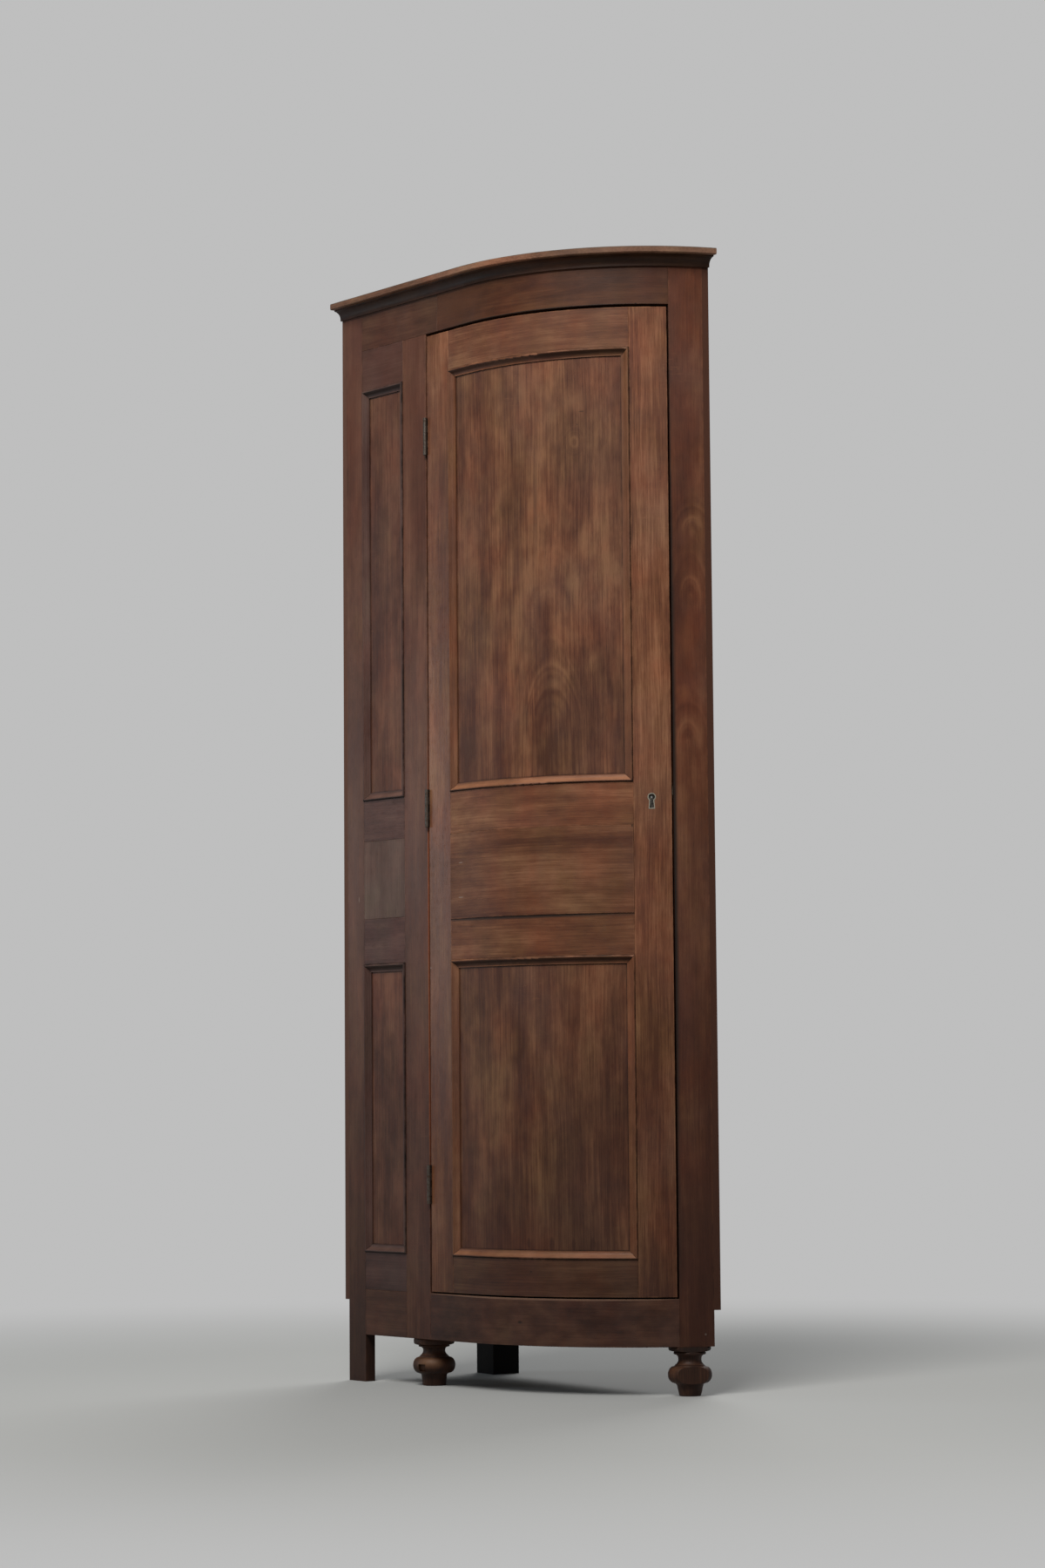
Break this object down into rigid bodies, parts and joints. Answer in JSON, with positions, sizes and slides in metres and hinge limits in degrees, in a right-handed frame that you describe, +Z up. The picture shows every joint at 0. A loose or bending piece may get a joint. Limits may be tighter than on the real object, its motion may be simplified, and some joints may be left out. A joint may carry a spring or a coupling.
{
  "type": "corner storage cabinet",
  "caption": "Tall bow-fronted corner cupboard with one bowed panelled door, a flat panelled return, shelves inside, turned front feet and a cove cornice.",
  "frame": {"origin": "middle of the bounding box at floor level", "axes": "+Z up; +Y towards the back wall of the room corner and -X towards its left wall; the door and the flat return face -Y, and the bow turns round to +X"},
  "size_m": [0.7682, 0.3882, 2.1],
  "materials": {
    "carcass_mahogany": "worn waxed mahogany, dark purplish brown",
    "return_mahogany": "worn waxed mahogany",
    "door_mahogany": "worn waxed mahogany, lighter and streaked",
    "panel_mahogany": "figured mahogany, thin old wax",
    "moulding_mahogany": "moulded mahogany, edges rubbed bright",
    "cornice_mahogany": "mahogany, dark cove under a rubbed light edge",
    "foot_mahogany": "turned mahogany, knocked and worn",
    "back_corner_wood": "rough dark softwood",
    "back_boards": "unfinished old softwood boards",
    "inner_wood": "unfinished old softwood",
    "hinge_iron": "dark rusted iron",
    "screw_steel": "dull old steel",
    "lock_steel": "dull old steel",
    "old_brass": "tarnished brass"
  },
  "bodies": {
    "carcass": {"left_leg_post": "carcass_mahogany", "hinge_post": "carcass_mahogany", "right_post": "carcass_mahogany", "frieze_side": "carcass_mahogany", "frieze_bowed": "carcass_mahogany", "base_rail_side": "carcass_mahogany", "base_rail_bowed": "carcass_mahogany", "return_bottom_rail": "return_mahogany", "return_lower_mid_rail": "return_mahogany", "return_upper_mid_rail": "return_mahogany", "return_top_rail": "return_mahogany", "return_mid_board": "return_mahogany", "return_lower_panel": "panel_mahogany", "return_upper_panel": "panel_mahogany", "return_lower_moulding": "moulding_mahogany", "return_upper_moulding": "moulding_mahogany", "top_board": "cornice_mahogany", "cornice_cove_side": "cornice_mahogany", "cornice_cove_bowed": "cornice_mahogany", "left_turned_foot": "foot_mahogany", "right_turned_foot": "foot_mahogany", "back_corner_post": "back_corner_wood", "foot_blocks": "back_corner_wood", "left_wall_boards": "back_boards", "back_wall_boards": "back_boards", "left_floor_rail": "inner_wood", "left_top_rail": "inner_wood", "back_floor_rail": "inner_wood", "back_top_rail": "inner_wood", "bottom_board": "inner_wood", "lowest_shelf": "inner_wood", "lower_middle_shelf": "inner_wood", "upper_middle_shelf": "inner_wood", "highest_shelf": "inner_wood", "shelf_battens": "inner_wood", "door_stop_right": "inner_wood", "door_stop_top": "inner_wood", "hinge_pins": "hinge_iron", "hinge_post_leaves": "hinge_iron", "hinge_post_screws": "screw_steel", "strike_plate": "old_brass"},
    "door": {"door_hinge_stile": "door_mahogany", "door_lock_stile": "door_mahogany", "door_bottom_rail": "door_mahogany", "door_lower_mid_rail": "door_mahogany", "door_upper_mid_rail": "door_mahogany", "door_top_rail": "door_mahogany", "door_mid_board": "door_mahogany", "door_lower_panel": "panel_mahogany", "door_upper_panel": "panel_mahogany", "door_lower_moulding": "moulding_mahogany", "door_upper_moulding": "moulding_mahogany", "hinge_door_leaves": "hinge_iron", "hinge_door_screws": "screw_steel", "lock_case": "lock_steel", "lock_drill_pin": "lock_steel", "key_escutcheon": "old_brass", "lock_screws": "screw_steel"},
    "lock_bolt": {"lock_bolt": "lock_steel"}
  },
  "joints": [
    {"name": "door_hinge", "type": "hinge", "parent": "carcass", "child": "door", "pos_m": [-0.11966, -0.1352, 1.085], "axis": [0, 0, -1], "range_deg": [0, 145]},
    {"name": "lock_bolt_slide", "type": "slide", "parent": "door", "child": "lock_bolt", "axis": [0.5178, 0.8555, 0], "range_m": [0, 0.01]}
  ]
}
